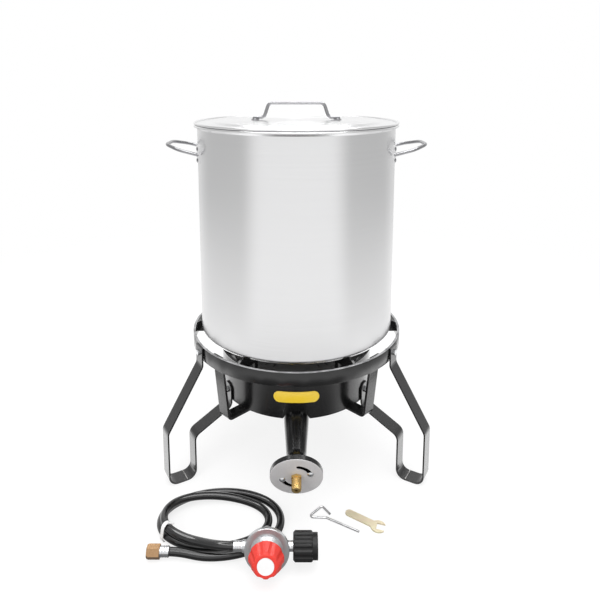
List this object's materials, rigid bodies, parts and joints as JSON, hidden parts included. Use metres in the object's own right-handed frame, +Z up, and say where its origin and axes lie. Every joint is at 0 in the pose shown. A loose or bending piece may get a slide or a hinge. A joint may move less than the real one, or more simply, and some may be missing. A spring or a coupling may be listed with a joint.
{
  "type": "outdoor gas burner with stockpot",
  "caption": "Legged outdoor gas burner with ring stand, venturi and air shutter, carrying a lidded stockpot, with its loose hose, regulator, key and wrench.",
  "frame": {"origin": "on the floor, midway between the gas inlet's tip and the rear leg's outer face and between the pot's two side handles", "axes": "+Z up along the pot's axis, -Y towards the air shutter and the viewer, +X to the right of a viewer in front"},
  "size_m": [0.4982, 0.6531, 0.702],
  "materials": {
    "black_steel": "semi-gloss black paint",
    "cast_burner": "raw grey-black casting",
    "black_casting": "glossy black enamel",
    "stainless": "fine vertical brushing",
    "bright_rod": "polished stainless rod",
    "zinc": "bright zinc plating",
    "shutter_steel": "satin sheet",
    "brass": "turned brass",
    "label_yellow": "bare yellow plate",
    "hose_rubber": "smooth black hose",
    "white_plastic": "smooth white",
    "cast_zinc": "grey die casting",
    "red_plastic": "glossy red moulding",
    "black_plastic": "ribbed black moulding",
    "diaphragm_rubber": "thin sheet",
    "yellow_zinc": "iridescent yellow passivate"
  },
  "bodies": {
    "stand": {"top_ring": "black_steel", "pot_rest_1": "black_steel", "pot_rest_2": "black_steel", "pot_rest_3": "black_steel", "pot_rest_4": "black_steel", "pot_rest_5": "black_steel", "pot_rest_6": "black_steel", "lower_strap": "black_steel", "upper_strap": "black_steel", "windscreen_drum": "black_steel", "rating_plate": "label_yellow", "front_left_leg": "black_steel", "front_right_leg": "black_steel", "rear_leg": "black_steel", "ring_bolts": "zinc", "ring_nuts": "zinc", "drum_bolts": "zinc", "drum_nuts": "zinc", "burner_bowl": "cast_burner", "burner_cap": "cast_burner", "cap_screw": "zinc", "burner_bolts": "zinc", "venturi_mixer": "black_casting", "shutter_screws": "zinc", "gas_inlet": "brass", "inlet_locknut": "brass"},
    "pot": {"pot_shell": "stainless", "left_handle_rod": "bright_rod", "right_handle_rod": "bright_rod", "left_handle_plates": "stainless", "right_handle_plates": "stainless", "handle_rivets": "bright_rod"},
    "lid": {"lid_shell": "stainless", "lid_handle": "bright_rod", "lid_rivets": "bright_rod"},
    "air_shutter": {"air_shutter": "shutter_steel"},
    "hose_set": {"hose_coil": "hose_rubber", "hose_nut_end": "hose_rubber", "hose_regulator_end": "hose_rubber", "hose_tie": "white_plastic", "nut_ferrule": "zinc", "regulator_ferrule": "zinc", "flare_stem": "brass", "regulator_body": "cast_zinc", "regulator_bonnet": "cast_zinc", "bonnet_screws": "zinc", "diaphragm": "diaphragm_rubber", "pressure_spring": "zinc", "inlet_stem": "zinc"},
    "adjusting_knob": {"adjusting_knob": "red_plastic", "knob_cap": "white_plastic", "adjusting_screw": "brass"},
    "coupling_handwheel": {"coupling_handwheel": "black_plastic"},
    "flare_nut": {"flare_nut": "brass"},
    "wire_key": {"wire_key": "zinc"},
    "open_wrench": {"open_wrench": "yellow_zinc"}
  },
  "joints": [
    {"name": "pot_lift", "type": "slide", "parent": "stand", "child": "pot", "axis": [0, 0, 1], "range_m": [0, 0.3]},
    {"name": "lid_lift", "type": "slide", "parent": "pot", "child": "lid", "axis": [0, 0, 1], "range_m": [0, 0.2]},
    {"name": "shutter_turn", "type": "hinge", "parent": "stand", "child": "air_shutter", "pos_m": [0, -0.24906, 0.0895], "axis": [0, -0.9455, -0.3256], "range_deg": [-66, 0]},
    {"name": "hose_set_lift", "type": "slide", "parent": "stand", "child": "hose_set", "axis": [0, -1, 0], "range_m": [0, 0.2]},
    {"name": "knob_turn", "type": "hinge", "parent": "hose_set", "child": "adjusting_knob", "pos_m": [-0.045, -0.32906, 0.03259], "axis": [0, -0.9848, 0.1736], "range_deg": [0, 1080]},
    {"name": "handwheel_spin", "type": "hinge", "parent": "hose_set", "child": "coupling_handwheel", "pos_m": [-0.045, -0.32906, 0.03259], "axis": [1, 0, 0], "continuous": true},
    {"name": "flare_nut_spin", "type": "hinge", "parent": "hose_set", "child": "flare_nut", "pos_m": [-0.2, -0.31606, 0.01097], "axis": [1, 0, 0], "continuous": true},
    {"name": "key_lift", "type": "slide", "parent": "stand", "child": "wire_key", "axis": [0, -1, 0], "range_m": [0, 0.15]},
    {"name": "wrench_lift", "type": "slide", "parent": "stand", "child": "open_wrench", "axis": [0, 0, 1], "range_m": [0, 0.15]}
  ]
}
